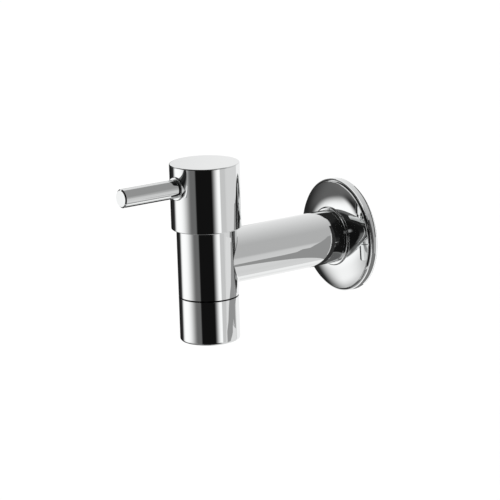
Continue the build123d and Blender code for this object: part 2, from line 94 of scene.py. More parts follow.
class Signal:
    """A shader value on which Python's operators add Math nodes."""

    def __init__(self, painter: "Painter", socket: Any) -> None:
        """Wrap a socket.

        Args:
            painter: The node tree's painter, which adds the nodes.
            socket: The output socket that carries the value.
        """
        self.painter = painter
        self.socket = socket

    def math(self, operation: str, *others: Any) -> "Signal":
        """Return this value after a Math node.

        Args:
            operation: The Math node's operation.
            *others: Further values, as numbers or signals.

        Returns:
            The result as a new signal.
        """
        values = dict(enumerate((self, *others)))
        return self.painter.signal("ShaderNodeMath", {"operation": operation}, values)

    def __add__(self, other: Any) -> "Signal":
        """Add a value."""
        return self.math("ADD", other)

    __radd__ = __add__

    def __sub__(self, other: Any) -> "Signal":
        """Take a value away."""
        return self.math("SUBTRACT", other)

    def __rsub__(self, other: Any) -> "Signal":
        """Take this value away from a number."""
        return self.math("MULTIPLY_ADD", -1.0, other)

    def __mul__(self, other: Any) -> "Signal":
        """Multiply by a value."""
        return self.math("MULTIPLY", other)

    __rmul__ = __mul__

    def ramp(self, start: float, end: float) -> "Signal":
        """Return a smooth step of this value.

        Args:
            start: The value at which the step is 0.
            end: The value at which the step is 1.

        Returns:
            The step, from 0 to 1.
        """
        rising = start < end
        low, high = (start, end) if rising else (end, start)
        step = self.painter.signal(
            "ShaderNodeMapRange",
            {"interpolation_type": "SMOOTHSTEP"},
            {"Value": self, "From Min": low, "From Max": high, "To Min": 0.0, "To Max": 1.0},
        )
        return step if rising else 1.0 - step


class Painter:
    """Adds nodes to one node tree."""

    def __init__(self, tree: Any) -> None:
        """Start on an empty node tree.

        Args:
            tree: The node tree of a material or a world.
        """
        self.tree = tree
        tree.nodes.clear()

    def add(
        self, kind: str, settings: dict[str, Any] | None = None, sockets: dict[Any, Any] | None = None
    ) -> Any:
        """Add a node.

        Args:
            kind: The node's type.
            settings: The node's own settings, which are set first.
            sockets: Values or links of its inputs, by name or place.

        Returns:
            The new node.
        """
        node = self.tree.nodes.new(kind)
        for name, value in (settings or {}).items():
            setattr(node, name, value)
        for name, value in (sockets or {}).items():
            entry = node.inputs[name]
            if isinstance(value, Signal):
                self.tree.links.new(value.socket, entry)
            elif isinstance(value, bpy.types.NodeSocket):
                self.tree.links.new(value, entry)
            else:
                entry.default_value = value
        return node

    def signal(
        self, kind: str, settings: dict[str, Any] | None = None, sockets: dict[Any, Any] | None = None,
        output: Any = 0,
    ) -> Signal:
        """Add a node and return one of its outputs as a signal.

        Args:
            kind: The node's type.
            settings: The node's own settings.
            sockets: Values or links of its inputs.
            output: The output, by name or place.

        Returns:
            The output as a signal.
        """
        return Signal(self, self.add(kind, settings, sockets).outputs[output])

    def place(self, stretch: Triple = EVEN) -> Any:
        """Return the socket of the object coordinates after a stretch.

        Args:
            stretch: Scale of the coordinates along each axis.

        Returns:
            The output socket.
        """
        source = self.add("ShaderNodeTexCoord").outputs["Object"]
        return self.add("ShaderNodeMapping", None, {"Vector": source, "Scale": stretch}).outputs[0]

    def noise(self, place: Any, scale: float, detail: float = 3.0, roughness: float = 0.5) -> Signal:
        """Return a noise pattern.

        Args:
            place: The socket of the coordinates.
            scale: The pattern's scale, per metre.
            detail: Octaves of the noise.
            roughness: Strength of the finer octaves.

        Returns:
            The pattern, from 0 to 1.
        """
        sockets = {"Vector": place, "Scale": scale, "Detail": detail, "Roughness": roughness}
        return self.signal("ShaderNodeTexNoise", None, sockets, "Fac")

    def blend(self, factor: Signal, first: Triple, second: Triple) -> Any:
        """Return the socket of a mix of two colours.

        Args:
            factor: The share of the second colour.
            first: The colour at 0.
            second: The colour at 1.

        Returns:
            The output socket.
        """
        first_place, second_place, result_place = MIX_COLOUR_PLACES
        mix = self.add("ShaderNodeMix", {"data_type": "RGBA"}, {"Factor": factor})
        mix.inputs[first_place].default_value = (*first, 1.0)
        mix.inputs[second_place].default_value = (*second, 1.0)
        return mix.outputs[result_place]

    def bump(self, height: Signal, distance: float, strength: float = 1.0) -> Any:
        """Return the normal socket of a bump.

        Args:
            height: The pattern of heights, from 0 to 1.
            distance: The height in metres.
            strength: The bump's strength.

        Returns:
            The output socket.
        """
        sockets = {"Height": height, "Distance": distance, "Strength": strength}
        return self.add("ShaderNodeBump", None, sockets).outputs[0]

    def finish(self, sockets: dict[str, Any]) -> None:
        """Close a material with a principled shader.

        Args:
            sockets: Values or links of the shader's inputs.
        """
        shader = self.add("ShaderNodeBsdfPrincipled", None, sockets)
        self.add("ShaderNodeOutputMaterial", None, {"Surface": shader.outputs[0]})


def new_material(name: str) -> tuple[bpy.types.Material, Painter]:
    """Make an empty material.

    Args:
        name: The material's name.

    Returns:
        The material and the painter of its nodes.
    """
    material = bpy.data.materials.new(name)
    material.use_nodes = True
    return material, Painter(material.node_tree)


@dataclass(frozen=True)
class ChromePlate:
    """Polished chrome: a clear mirror with the faint haze of a wiped surface.

    Above the height of a joint the colour turns near black: painted shade of the dark groove between two
    parts.
    """

    name: str = "polished_chrome"
    joint: float | None = None
    joint_blend: float = 0.05 * MM
    colour: Triple = (0.92, 0.93, 0.93)
    joint_shade: Triple = (0.015, 0.015, 0.016)
    gloss: float = 0.015
    haze: float = 0.03
    wipe_scale: float = 160.0
    wipe_stretch: Triple = (1.0, 1.0, 0.25)
    wipe_range: tuple[float, float] = (0.35, 0.8)
    ripple: float = 0.0000008
    ripple_scale: float = 70.0

    def build(self) -> bpy.types.Material:
        """Make the material."""
        material, paint = new_material(self.name)
        wiped = paint.noise(paint.place(self.wipe_stretch), self.wipe_scale, detail=4.0, roughness=0.6)
        waves = paint.noise(paint.place(), self.ripple_scale, detail=1.0)
        colour: Any = (*self.colour, 1.0)
        # painted shade: above the joint's height the colour turns near black, standing for the shaded
        # groove between the parts
        if self.joint is not None:
            height = paint.signal("ShaderNodeSeparateXYZ", None, {"Vector": paint.place()}, "Z")
            above = height.ramp(self.joint, self.joint + self.joint_blend)
            colour = paint.blend(above, self.colour, self.joint_shade)
        paint.finish({
            "Base Color": colour,
            "Metallic": 1.0,
            "Roughness": wiped.ramp(*self.wipe_range) * self.haze + self.gloss,
            "Normal": paint.bump(waves, self.ripple),
        })
        return material


@dataclass(frozen=True)
class TurnedBrass:
    """Brass turned on a lathe: fine rings round the axis, a little dulled."""

    axis: Axis = Axis.COLUMN
    bright: Triple = (0.86, 0.66, 0.34)
    dull: Triple = (0.66, 0.46, 0.20)
    tarnish_scale: float = 260.0
    tarnish_range: tuple[float, float] = (0.35, 0.75)
    ring_scale: float = 1100.0
    ring_depth: float = 0.000012
    gloss: float = 0.14
    tarnish_haze: float = 0.22
    ring_haze: float = 0.08

    def build(self) -> bpy.types.Material:
        """Make the material."""
        material, paint = new_material(f"turned_brass_{self.axis.value.lower()}")
        place = paint.place()
        tarnish = paint.noise(place, self.tarnish_scale, detail=5.0, roughness=0.6)
        rings = paint.signal(
            "ShaderNodeTexWave",
            {"wave_type": "BANDS", "bands_direction": self.axis.value, "wave_profile": "SIN"},
            {"Vector": place, "Scale": self.ring_scale, "Distortion": 0.6, "Detail": 2.0},
            "Fac",
        )
        paint.finish({
            "Base Color": paint.blend(tarnish.ramp(*self.tarnish_range), self.bright, self.dull),
            "Metallic": 1.0,
            "Roughness": tarnish * self.tarnish_haze + rings * self.ring_haze + self.gloss,
            "Normal": paint.bump(rings, self.ring_depth, strength=0.6),
        })
        return material


@dataclass(frozen=True)
class PressedFibre:
    """Red fibre sheet with short pale fibres."""

    colour: Triple = (0.50, 0.15, 0.10)
    fibres: Triple = (0.68, 0.33, 0.24)
    scale: float = 1400.0
    stretch: Triple = (1.0, 0.3, 4.0)
    fibre_range: tuple[float, float] = (0.45, 0.7)
    relief: float = 0.00004
    gloss: float = 0.7
    haze: float = 0.2

    def build(self) -> bpy.types.Material:
        """Make the material."""
        material, paint = new_material("pressed_fibre")
        strands = paint.noise(paint.place(self.stretch), self.scale, detail=5.0, roughness=0.7)
        paint.finish({
            "Base Color": paint.blend(strands.ramp(*self.fibre_range), self.colour, self.fibres),
            "Roughness": strands * self.haze + self.gloss,
            "Normal": paint.bump(strands, self.relief, strength=0.5),
        })
        return material


@dataclass(frozen=True)
class MouldedRubber:
    """Black moulded rubber with a matt, slightly dusty skin."""

    colour: Triple = (0.022, 0.022, 0.023)
    dusty: Triple = (0.055, 0.053, 0.050)
    scale: float = 700.0
    dust_range: tuple[float, float] = (0.5, 0.8)
    relief: float = 0.00002
    gloss: float = 0.42
    haze: float = 0.25

    def build(self) -> bpy.types.Material:
        """Make the material."""
        material, paint = new_material("moulded_rubber")
        dust = paint.noise(paint.place(), self.scale, detail=6.0, roughness=0.65)
        paint.finish({
            "Base Color": paint.blend(dust.ramp(*self.dust_range), self.colour, self.dusty),
            "Roughness": dust * self.haze + self.gloss,
            "Normal": paint.bump(dust, self.relief, strength=0.4),
        })
        return material


@dataclass(frozen=True)
class MouldedPlastic:
    """Moulded acetal with a soft gloss and a faint cloudiness."""

    name: str
    colour: Triple
    cloud: Triple
    cloud_scale: float = 120.0
    cloud_range: tuple[float, float] = (0.3, 0.8)
    grain_scale: float = 2600.0
    relief: float = 0.000012
    gloss: float = 0.34
    haze: float = 0.12
    sheen: float = 0.45

    def build(self) -> bpy.types.Material:
        """Make the material."""
        material, paint = new_material(self.name)
        place = paint.place()
        clouds = paint.noise(place, self.cloud_scale)
        grain = paint.noise(place, self.grain_scale, detail=2.0)
        paint.finish({
            "Base Color": paint.blend(clouds.ramp(*self.cloud_range), self.colour, self.cloud),
            "Roughness": clouds * self.haze + self.gloss,
            "Specular IOR Level": self.sheen,
            "Normal": paint.bump(grain, self.relief, strength=0.35),
        })
        return material


@dataclass(frozen=True)
class LappedCeramic:
    """Alumina lapped flat, with crossing marks of the lapping plate."""

    colour: Triple = (0.88, 0.87, 0.83)
    speck: Triple = (0.78, 0.76, 0.71)
    grain_scale: float = 3200.0
    speck_range: tuple[float, float] = (0.55, 0.75)
    mark_scale: float = 420.0
    mark_stretch: Triple = (1.0, 14.0, 1.0)
    relief: float = 0.000004
    gloss: float = 0.10
    haze: float = 0.16
    coat: float = 0.15

    def build(self) -> bpy.types.Material:
        """Make the material."""
        material, paint = new_material("lapped_ceramic")
        grain = paint.noise(paint.place(), self.grain_scale, roughness=0.6)
        marks = paint.noise(paint.place(self.mark_stretch), self.mark_scale)
        paint.finish({
            "Base Color": paint.blend(grain.ramp(*self.speck_range), self.colour, self.speck),
            "Roughness": marks * self.haze + self.gloss,
            "Coat Weight": self.coat,
            "Normal": paint.bump(marks, self.relief, strength=0.3),
        })
        return material


@dataclass(frozen=True)
class DrawnSteel:
    """Stainless steel drawn or rolled, with fine lines along its run."""

    name: str
    stretch: Triple
    colour: Triple = (0.60, 0.60, 0.61)
    shade: Triple = (0.48, 0.48, 0.49)
    scale: float = 900.0
    shade_range: tuple[float, float] = (0.35, 0.75)
    relief: float = 0.000006
    gloss: float = 0.18
    haze: float = 0.22

    def build(self) -> bpy.types.Material:
        """Make the material."""
        material, paint = new_material(self.name)
        lines = paint.noise(paint.place(self.stretch), self.scale, detail=4.0, roughness=0.6)
        paint.finish({
            "Base Color": paint.blend(lines.ramp(*self.shade_range), self.colour, self.shade),
            "Metallic": 1.0,
            "Roughness": lines * self.haze + self.gloss,
            "Normal": paint.bump(lines, self.relief, strength=0.5),
        })
        return material


class Finishes:
    """Every finish of the tap, made once."""

    def __init__(self) -> None:
        """Make the materials."""
        self.chrome = ChromePlate().build()
        # chrome whose band above the joint is painted shade of the groove between the nozzle and the body
        self.joint_shaded_chrome = ChromePlate("joint_shaded_chrome", JOINT_HEIGHT).build()
        self.column_brass = TurnedBrass(Axis.COLUMN).build()
        self.arm_brass = TurnedBrass(Axis.ARM).build()
        self.fibre = PressedFibre().build()
        self.rubber = MouldedRubber().build()
        self.white_plastic = MouldedPlastic("white_acetal", (0.84, 0.84, 0.81), (0.78, 0.78, 0.74)).build()
        self.grey_plastic = MouldedPlastic("grey_acetal", (0.40, 0.42, 0.43), (0.34, 0.36, 0.37)).build()
        self.ceramic = LappedCeramic().build()
        self.spring_steel = DrawnSteel("clip_steel", (1.0, 1.0, 6.0)).build()
        self.wire = DrawnSteel("drawn_wire", (1.0, 1.0, 3.0), (0.66, 0.66, 0.66)).build()


def dress(names: tuple[str, ...], material: bpy.types.Material) -> None:
    """Give CAD nodes a material.

    Args:
        names: The nodes.
        material: Their finish.
    """
    for name in names:
        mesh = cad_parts[name].data
        mesh.materials.clear()
        mesh.materials.append(material)
        log.info("dressed %s with %s", name, material.name)


def to_mesh(bm: bmesh.types.BMesh, name: str) -> bpy.types.Mesh:
    """Turn a bmesh into a mesh and free it.

    Args:
        bm: The bmesh.
        name: The mesh's name.

    Returns:
        The mesh.
    """
    mesh = bpy.data.meshes.new(name)
    bm.to_mesh(mesh)
    bm.free()
    return mesh


def pour_in(bm: bmesh.types.BMesh, mesh: bpy.types.Mesh) -> None:
    """Add a mesh to a bmesh and remove the mesh.

    Args:
        bm: The bmesh that it goes into.
        mesh: The mesh.
    """
    bm.from_mesh(mesh)
    bpy.data.meshes.remove(mesh)


def put_in_scene(mesh: bpy.types.Mesh, material: bpy.types.Material) -> bpy.types.Object:
    """Make an object of a mesh, under the mesh's name.

    Args:
        mesh: The mesh.
        material: Its only material.

    Returns:
        The object.
    """
    mesh.materials.append(material)
    thing = bpy.data.objects.new(mesh.name, mesh)
    bpy.context.scene.collection.objects.link(thing)
    return thing


def spin_outline(
    bm: bmesh.types.BMesh, outline: list[Triple], axis: Triple, steps: int,
    angle: float = FULL_TURN, rise: float = 0.0,
) -> None:
    """Turn a closed outline round an axis through the origin.

    Args:
        bm: The mesh that the surface goes into.
        outline: The outline's corners in order.
        axis: The axis.
        steps: Steps of the whole turn.
        angle: The whole turn, in radians.
        rise: The way along the axis at each step; a surface that rises doesn't close on itself.
    """
    ring = [bm.verts.new(corner) for corner in outline]
    edges = [bm.edges.new((ring[i - 1], ring[i])) for i in range(len(ring))]
    bmesh.ops.spin(
        bm, geom=ring + edges, cent=(0, 0, 0), axis=axis, dvec=Vector(axis) * rise,
        angle=angle, steps=steps, use_merge=rise == 0.0, use_duplicate=False,
    )


def stand_in(
    name: str, bm: bmesh.types.BMesh, material: bpy.types.Material, slot: Slot, body: Body, *nodes: str
) -> bpy.types.Object:
    """Turn a bmesh into a piece that replaces CAD nodes.

    Args:
        name: The piece's name.
        bm: The mesh, in millimetres; it is freed.
        material: The piece's finish.
        slot: The record's slot of the finish; not used.
        body: The body that it rides on.
        *nodes: The CAD nodes that it stands for.

    Returns:
        The new object.
    """
    bmesh.ops.scale(bm, vec=(MM, MM, MM), verts=bm.verts)
    bmesh.ops.recalc_face_normals(bm, faces=bm.faces)
    mesh = to_mesh(bm, name)
    mesh.shade_smooth()
    mesh.set_sharp_from_angle(angle=SHARP_ANGLE)
    piece = put_in_scene(mesh, material)
    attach(piece, body.value)
    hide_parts(*nodes)
    log.info("built %s with %d faces for %s", name, len(mesh.polygons), ", ".join(nodes))
    return piece


@dataclass
class Inlet:
    """The threaded nipple in the arm, with its fibre ring and strainer; sizes in millimetres."""

    tail_radius: float = 9.5
    tail_start: float = -11.0
    thread_end: float = 11.0
    crest: float = 10.4775
    root: float = 9.32
    pitch: float = 1.814
    crest_width: float = 0.36
    lead: float = 1.1
    bore: float = 6.5
    seat_radius: float = 8.05
    seat_start: float = 8.0
    edge: float = 0.3
    segments: int = 96
    steps_per_turn: int = 60
    crest_round: float = 0.12
    sunk: float = 0.12
    slack: float = 0.02
    run_out: float = 0.1

    def core(self, bm: bmesh.types.BMesh) -> None:
        """Add the turned body of the nipple.

        Args:
            bm: The mesh that it goes into.
        """
        outline = (
            (self.bore, self.tail_start + self.edge),
            (self.bore + self.edge, self.tail_start),
            (self.tail_radius - 2 * self.edge, self.tail_start),
            (self.tail_radius, self.tail_start + 2 * self.edge),
            (self.tail_radius, 0.0),
            (self.root, 0.0),
            (self.root, self.thread_end - self.edge),
            (self.root - self.edge, self.thread_end),
            (self.seat_radius + self.edge, self.thread_end),
            (self.seat_radius, self.thread_end - self.edge),
            (self.seat_radius, self.seat_start),
            (self.bore, self.seat_start),
        )
        spin_outline(bm, [(radius, along, 0.0) for radius, along in outline], ALONG_ARM, self.segments)
        bmesh.ops.remove_doubles(bm, verts=bm.verts, dist=WELD)

    def ridge(self, bm: bmesh.types.BMesh) -> None:
        """Add the screw thread as one winding ridge, cut off flat at both ends.

        Args:
            bm: The mesh that it goes into.
        """
        turns = (self.thread_end + 2 * self.pitch) / self.pitch
        steps = round(self.steps_per_turn * turns)
        half = self.pitch / 2 - self.slack
        foot = self.root - self.sunk
        shoulder = self.crest - self.crest_round
        outline = (
            (foot, -half), (shoulder, -self.crest_width / 2), (self.crest, 0.0),
            (shoulder, self.crest_width / 2), (foot, half),
        )
        spin_outline(
            bm, [(radius, along - self.pitch, 0.0) for radius, along in outline], ALONG_ARM, steps,
            FULL_TURN * steps / self.steps_per_turn, self.pitch / self.steps_per_turn,
        )
        for place, side in ((self.slack, -1.0), (self.thread_end - self.slack, 1.0)):
            geom = list(bm.verts) + list(bm.edges) + list(bm.faces)
            cut = bmesh.ops.bisect_plane(
                bm, geom=geom, plane_co=(0, place, 0), plane_no=(0, side, 0), clear_outer=True
            )
            rim = [item for item in cut["geom_cut"] if isinstance(item, bmesh.types.BMEdge)]
            bmesh.ops.holes_fill(bm, edges=rim, sides=0)
        self.run_into_core(bm)

    def run_into_core(self, bm: bmesh.types.BMesh) -> None:
        """Let the ridge sink into the core towards both ends of the thread.

        Args:
            bm: The mesh of the ridge alone.
        """
        for vert in bm.verts:
            radius = math.hypot(vert.co.x, vert.co.z)
            room = min(vert.co.y, self.thread_end - vert.co.y)
            limit = min(self.crest, self.root - self.run_out + max(room, 0.0) * self.lead)
            if radius > limit:
                vert.co.x *= limit / radius
                vert.co.z *= limit / radius

    def build(self, finishes: Finishes) -> None:
        """Build and dress the pieces.

        Args:
            finishes: The tap's materials.
        """
        thread = bmesh.new()
        self.ridge(thread)
        bm = bmesh.new()
        self.core(bm)
        pour_in(bm, to_mesh(thread, "thread"))
        stand_in("threaded_nipple", bm, finishes.arm_brass, Slot.BRASS, Body.TAP, "inlet_nipple")
        dress(("nipple_seal",), finishes.fibre)
        dress(("inlet_strainer",), finishes.white_plastic)


@dataclass
class Valve:
    """The quarter-turn valve inside the column."""

    brass: tuple[str, ...] = ("bonnet", "spindle", "stop_ring")
    ceramic: tuple[str, ...] = ("fixed_disc", "turning_disc")
    rubber: tuple[str, ...] = ("bonnet_seal", "seat_seal", "stem_seal_1", "stem_seal_2")
    plastic: tuple[str, ...] = ("thrust_washer", "spline_adapter", "glide_ring")
    spring: tuple[str, ...] = ("spindle_clip",)

    def build(self, finishes: Finishes) -> None:
        """Dress the pieces.

        Args:
            finishes: The tap's materials.
        """
        dress(self.brass, finishes.column_brass)
        dress(self.ceramic, finishes.ceramic)
        dress(self.rubber, finishes.rubber)
        dress(self.plastic, finishes.white_plastic)
        dress(self.spring, finishes.spring_steel)


@dataclass
class Aerator:
    """The outlet insert; sizes in millimetres."""

    centre: Triple = (0.0, -78.5, -26.35)
    rim_radius: float = 10.9
    rim_width: float = 0.9
    thickness: float = 0.4
    wire_radius: float = 0.1
    wire_gap: float = 0.85
    wire_sides: int = 6
    segments: int = 72

    def wire(self, offset: float, turned: bool, phase: float) -> bpy.types.Mesh:
        """Make one wire of the cloth, which passes over and under its neighbours.

        Args:
            offset: Its distance from the centre.
            turned: Whether it runs along the other direction of the cloth.
            phase: Whether it starts above or below, as 1 or -1.

        Returns:
            The wire's mesh, for one use.
        """
        reach = self.rim_radius - self.rim_width / 2
        length = 2 * math.sqrt(reach ** 2 - offset ** 2)
        bm = bmesh.new()
        bmesh.ops.create_cone(
            bm, cap_ends=True, cap_tris=False, segments=self.wire_sides,
            radius1=self.wire_radius, radius2=self.wire_radius, depth=length,
            matrix=Matrix.Rotation(QUARTER_TURN, 4, "Y"),
        )
        runs = [edge for edge in bm.edges if edge.calc_length() > length / 2]
        cuts = max(2, round(length / self.wire_gap * 2))
        bmesh.ops.subdivide_edges(bm, edges=runs, cuts=cuts, use_grid_fill=False)
        for vert in bm.verts:
            vert.co.z += phase * self.wire_radius * math.cos(math.pi * vert.co.x / self.wire_gap)
            vert.co.y += offset
        if turned:
            across = Matrix.Rotation(QUARTER_TURN, 3, "Z")
            bmesh.ops.rotate(bm, cent=(0, 0, 0), matrix=across, verts=bm.verts)
        return to_mesh(bm, "wire")

    def screen(self) -> bmesh.types.BMesh:
        """Make the woven screen in its pressed rim.

        Returns:
            The mesh.
        """
        bm = bmesh.new()
        count = int((self.rim_radius - self.rim_width) / self.wire_gap)
        for place in range(-count, count + 1):
            phase = 1.0 if place % 2 == 0 else -1.0
            for turned, side in ((False, phase), (True, -phase)):
                pour_in(bm, self.wire(place * self.wire_gap, turned, side))
        half = self.thickness / 2
        inner, outer = self.rim_radius - self.rim_width, self.rim_radius
        outline = [(inner, 0.0, -half), (outer, 0.0, -half), (outer, 0.0, half), (inner, 0.0, half)]
        spin_outline(bm, outline, UPWARDS, self.segments)
        bmesh.ops.translate(bm, vec=self.centre, verts=bm.verts)
        return bm

    def build(self, finishes: Finishes) -> None:
        """Build and dress the pieces.

        Args:
            finishes: The tap's materials.
        """
        stand_in("woven_screen", self.screen(), finishes.wire, Slot.WIRE, Body.TAP, "aerator_screen")
        dress(("aerator_washer", "nozzle_seal"), finishes.rubber)
        dress(("jet_plate", "aerator_core"), finishes.grey_plastic)
        dress(("aerator_shell",), finishes.chrome)


@dataclass
class Plating:
    """The chromed outside of the tap and its wall flange."""

    outside: tuple[str, ...] = ("body", "handle_cap", "lever", "wall_flange")
    seals: tuple[str, ...] = ("flange_seal",)

    def build(self, finishes: Finishes) -> None:
        """Dress the pieces.

        Args:
            finishes: The tap's materials.
        """
        dress(self.outside, finishes.chrome)
        # the nozzle's top band is painted shade of the dark groove where it meets the body
        dress(("nozzle",), finishes.joint_shaded_chrome)
        dress(self.seals, finishes.rubber)


@dataclass(frozen=True)
class Card:
    """A patch of the studio round the tap, seen by direction in degrees.

    Azimuth 0 points away from the wall, and the azimuth grows towards the right of a person who faces
    the wall. Every edge fades by its softness to both sides. Each lid is a slanted upper edge: its
    slope, its height at azimuth 0 and its softness.
    """

    azimuth: tuple[float, float]
    height: tuple[float, float]
    level: float
    soft: tuple[float, float] = (2.0, 2.0)
    soft_height: tuple[float, float] = (3.0, 3.0)
    lids: tuple[Triple, ...] = ()

    def over(self, azimuth: Signal, height: Signal, level: Any) -> Any:
        """Lay the card over a level.

        Args:
            azimuth: The direction's azimuth.
            height: The direction's height.
            level: The level beneath, as a number or signal.

        Returns:
            The level with the card on it.
        """
        left, right = self.azimuth
        low, high = self.height
        mask = azimuth.ramp(left - self.soft[0], left + self.soft[0])
        mask = mask * azimuth.ramp(right + self.soft[1], right - self.soft[1])
        if low > -ZENITH:
            mask = mask * height.ramp(low - self.soft_height[0], low + self.soft_height[0])
        if high < ZENITH:
            mask = mask * height.ramp(high + self.soft_height[1], high - self.soft_height[1])
        for slope, limit, soft in self.lids:
            mask = mask * (height - azimuth * slope).ramp(limit + soft, limit - soft)
        return mask * (self.level - level) + level


@dataclass(frozen=True)
class Flag:
    """A small grey card near the tap, which only its polished faces mirror; sizes in millimetres.

    The card shows on the side from which its corners run anticlockwise. A fade gives two heights
    and the level at the second one.
    """

    name: str
    level: float
    corners: tuple[Triple, ...]
    fade: Triple | None = None

    def shade(self, paint: Painter) -> Any:
        """Return the card's level, which may fade to another between two heights.

        Args:
            paint: The painter of the card's material.

        Returns:
            The level, as a socket or colour.
        """
        if self.fade is None:
            return (self.level,) * 3 + (1.0,)
        low, high, other = self.fade
        place = paint.add("ShaderNodeTexCoord").outputs["Object"]
        height = paint.signal("ShaderNodeSeparateXYZ", None, {"Vector": place}, "Z")
        return height.ramp(low * MM, high * MM) * (other - self.level) + self.level

    def build(self) -> None:
        """Make the card."""
        bm = bmesh.new()
        bm.faces.new([bm.verts.new(corner) for corner in self.corners])
        bmesh.ops.triangulate(bm, faces=bm.faces)
        bmesh.ops.scale(bm, vec=(MM, MM, MM), verts=bm.verts)
        material, paint = new_material(f"{self.name}_grey")
        glow = paint.add("ShaderNodeEmission", None, {"Color": self.shade(paint), "Strength": 1.0})
        clear = paint.add("ShaderNodeBsdfTransparent")
        behind = paint.add("ShaderNodeNewGeometry").outputs["Backfacing"]
        mix = paint.add("ShaderNodeMixShader", None, {0: behind, 1: glow.outputs[0], 2: clear.outputs[0]})
        paint.add("ShaderNodeOutputMaterial", None, {"Surface": mix.outputs[0]})
        card = put_in_scene(to_mesh(bm, self.name), material)
        card.visible_camera = card.visible_diffuse = card.visible_shadow = card.visible_transmission = False


@dataclass(frozen=True)
class Studio:
    """The light round the tap, the floor and the small cards beside it; sizes in metres.

    The sky gives the level of the light that no card covers: its value in the middle, its slope
    across and its least value. The plain light, which all but polished faces take, has an even part
    and a part that grows with height.
    """

    cards: tuple[Card, ...]
    flags: tuple[Flag, ...]
    sky: Triple = (0.60, -0.27, 0.45)
    plain: tuple[float, float] = (0.86, 0.26)
    floor_height: float = -0.20
    floor_half: float = 6.0
    floor_grey: Triple = (0.86, 0.86, 0.86)
    floor_glow: float = 0.14

    def world(self) -> None:
        """Make the light by direction, with a plain white background for the camera."""
        world = bpy.data.worlds.new("studio")
        bpy.context.scene.world = world
        world.use_nodes = True
        paint = Painter(world.node_tree)
        direction = paint.add("ShaderNodeTexCoord").outputs["Generated"]
        split = paint.add("ShaderNodeSeparateXYZ", None, {"Vector": direction})
        x, y, z = (Signal(paint, split.outputs[name]) for name in "XYZ")
        azimuth = x.math("ARCTAN2", y * -1.0) * math.degrees(1.0)
        height = z.math("ARCSINE") * math.degrees(1.0)
        start, slope, least = self.sky
        level: Any = (x * slope + start).math("MAXIMUM", least)
        for card in self.cards:
            level = card.over(azimuth, height, level)
        shown = paint.signal("ShaderNodeLightPath", None, None, "Is Glossy Ray")
        seen = paint.signal("ShaderNodeLightPath", None, None, "Is Camera Ray")
        even, tilt = self.plain
        soft = z * tilt + even
        strength = shown * (level - soft) + soft
        strength = seen * (1.0 - strength) + strength
        glow = paint.add("ShaderNodeBackground", None, {"Color": (1, 1, 1, 1), "Strength": strength})
        paint.add("ShaderNodeOutputWorld", None, {"Surface": glow.outputs[0]})

    def floor(self) -> None:
        """Make the plain pale floor."""
        bm = bmesh.new()
        bmesh.ops.create_grid(bm, x_segments=2, y_segments=2, size=self.floor_half)
        bmesh.ops.translate(bm, vec=(0, 0, self.floor_height), verts=bm.verts)
        material, paint = new_material("pale_floor")
        seen = paint.signal("ShaderNodeLightPath", None, None, "Is Camera Ray")
        paint.finish({
            "Base Color": (*self.floor_grey, 1.0),
            "Roughness": 1.0,
            "Specular IOR Level": 0.0,
            "Emission Color": seen * self.floor_glow,
            "Emission Strength": 1.0,
        })
        floor = put_in_scene(to_mesh(bm, "floor"), material)
        floor.visible_glossy = False

    def build(self) -> None:
        """Make the world, the floor and the small cards."""
        self.world()
        self.floor()
        for flag in self.flags:
            flag.build()
        log.info("lit the studio with %d far and %d near cards", len(self.cards), len(self.flags))


@dataclass(frozen=True)
class Photographer:
    """The camera, placed by its angles round a target.

    Angles are in degrees, the distance and the target in metres, the lens and the sensor in millimetres.
    """

    azimuth: float = 54.777
    elevation: float = 13.58
    roll: float = -1.814
    distance: float = 1.5
    lens: float = 231.235
    sensor: float = 36.0
    clip: tuple[float, float] = (0.05, 20.0)
    target: Triple = (0.0, -0.054315, 0.00091)

    def build(self) -> None:
        """Make the camera and use it."""
        around, above, roll = (math.radians(angle) for angle in (self.azimuth, self.elevation, self.roll))
        flat = math.cos(above)
        back = Vector((math.sin(around) * flat, -math.cos(around) * flat, math.sin(above)))
        right = Vector((math.cos(around), math.sin(around), 0.0))
        up = back.cross(right)
        side = math.cos(roll) * right + math.sin(roll) * up
        top = -math.sin(roll) * right + math.cos(roll) * up
        lens = bpy.data.cameras.new("camera")
        lens.lens = self.lens
        lens.sensor_width = self.sensor
        lens.sensor_fit = "HORIZONTAL"
        lens.clip_start, lens.clip_end = self.clip
        camera = bpy.data.objects.new("camera", lens)
        bpy.context.scene.collection.objects.link(camera)
        turn = Matrix((side, top, back)).transposed()
        camera.matrix_world = Matrix.Translation(Vector(self.target) + self.distance * back) @ turn.to_4x4()
        bpy.context.scene.camera = camera


def upright(along: float, *corners: tuple[float, float]) -> tuple[Triple, ...]:
    """Return the corners of a flat card that faces away from the wall.

    Args:
        along: Its place along the arm, in millimetres.
        *corners: The place across the tap and the height of each corner.

    Returns:
        The corners in order.
    """
    return tuple((across, along, height) for across, height in corners)


def arc(
    along: float, radii: tuple[float, float], angles: tuple[float, float],
    growth: float = 0.0, height: float = 0.0,
) -> tuple[Triple, ...]:
    """Return the corners of a piece of a flat ring that faces away from the wall.

    Args:
        along: The ring's place along the arm, in millimetres.
        radii: Its inner and outer radius.
        angles: Where it starts and ends, in degrees from the right, anticlockwise for a viewer at the tap.
        growth: How much larger the outer radius is at the start than at the end.
        height: The height of its centre.

    Returns:
        The corners in order.
    """
    inner, outer = radii
    start, end = (math.radians(angle) for angle in angles)
    shares = [step / ARC_STEPS for step in range(ARC_STEPS + 1)]
    turns = [start + (end - start) * share for share in shares]
    reach = [outer + growth * (1.0 - share) for share in shares]
    out = [(far * math.cos(turn), height + far * math.sin(turn)) for far, turn in zip(reach, turns)]
    back = [(inner * math.cos(turn), height + inner * math.sin(turn)) for turn in reversed(turns)]
    return upright(along, *out, *back)


